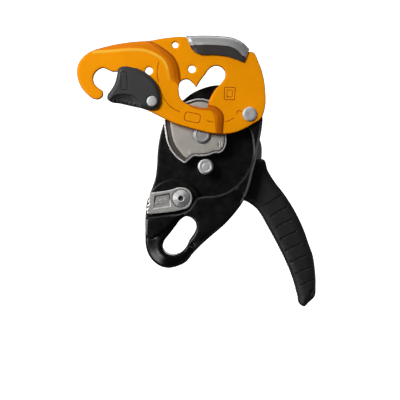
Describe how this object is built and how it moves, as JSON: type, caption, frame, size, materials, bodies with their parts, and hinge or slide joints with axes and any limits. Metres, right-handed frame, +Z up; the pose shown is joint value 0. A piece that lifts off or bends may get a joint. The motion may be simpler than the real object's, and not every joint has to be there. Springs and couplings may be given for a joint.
{
  "type": "self-braking rope descender",
  "caption": "Self-braking rope descender with a swing-open side plate, gated hook, braking cam, sprung catch and a curved release handle.",
  "frame": {"origin": "middle of the attachment hole's seat, on the front face of the flat frame plate", "axes": "+Z up as hung from the rope, -Y out of the front, +X towards the handle"},
  "size_m": [0.1922, 0.0507, 0.2181],
  "materials": {
    "anodised_black": "black satin anodised",
    "anodised_gold": "orange-gold satin anodised",
    "wear_steel": "blasted stainless steel",
    "cast_steel": "fine cast stainless steel",
    "bright_steel": "turned steel",
    "bronze": "plain bearing bronze",
    "black_plastic": "fine textured glass-filled nylon"
  },
  "bodies": {
    "frame": {"fixed_frame": "anodised_black", "cam_axle": "bright_steel", "axle_nut": "bright_steel", "stop_pin": "bright_steel", "stop_pin_sleeve": "bright_steel", "pivot_post": "bright_steel", "catch_rivet": "bright_steel", "catch_spring": "bright_steel", "handle_stop_stud": "bright_steel", "cam_spring": "bright_steel"},
    "side_plate": {"moving_side_plate": "anodised_gold", "wear_channel": "wear_steel", "channel_rivet_1": "wear_steel", "channel_rivet_2": "wear_steel", "gate_rivet": "bright_steel", "gate_spring": "bright_steel"},
    "gate": {"safety_gate": "black_plastic"},
    "cam": {"cam_body": "cast_steel", "cam_face_plate": "cast_steel", "cam_bushing": "bronze", "clutch_disc": "bright_steel"},
    "catch": {"anti_error_catch": "cast_steel"},
    "handle": {"handle_arm": "bright_steel", "handle_grip": "black_plastic", "hub_bushing": "bronze", "clutch_washer": "bronze", "rear_cover": "black_plastic", "cover_screw_1": "bright_steel", "cover_screw_2": "bright_steel", "cover_screw_3": "bright_steel", "grip_screw_1": "bright_steel", "grip_screw_2": "bright_steel", "button_spring": "bright_steel"},
    "button": {"handle_button": "black_plastic"}
  },
  "joints": [
    {"name": "side_plate_swing", "type": "hinge", "parent": "frame", "child": "side_plate", "pos_m": [0.058, 0, 0.1031], "axis": [0, -1, 0], "range_deg": [0, 73.5]},
    {"name": "gate_swing", "type": "hinge", "parent": "side_plate", "child": "gate", "pos_m": [-0.0186, 0, 0.1124], "axis": [0, 1, 0], "range_deg": [0, 22], "stiffness_Nm_per_rad": 0.02, "springref_deg": -28.65},
    {"name": "handle_swing", "type": "hinge", "parent": "frame", "child": "handle", "pos_m": [0.0205, 0, 0.0869], "axis": [0, -1, 0], "range_deg": [0, 80]},
    {"name": "cam_pivot", "type": "hinge", "parent": "frame", "child": "cam", "pos_m": [0.0205, 0, 0.0869], "axis": [0, -1, 0], "range_deg": [0, 15]},
    {"name": "catch_swing", "type": "hinge", "parent": "frame", "child": "catch", "pos_m": [0.0039, 0, 0.0366], "axis": [0, 1, 0], "range_deg": [0, 16], "stiffness_Nm_per_rad": 0.02, "springref_deg": -22.92},
    {"name": "button_push", "type": "slide", "parent": "handle", "child": "button", "axis": [0, -1, 0], "range_m": [0, 0.0016], "stiffness_N_per_m": 800, "springref_m": -0.001, "deforming": ["button_spring"]}
  ],
  "couplings": [
    {"joint": "cam_pivot", "follows": "handle_swing", "ratio": 0.1875}
  ]
}
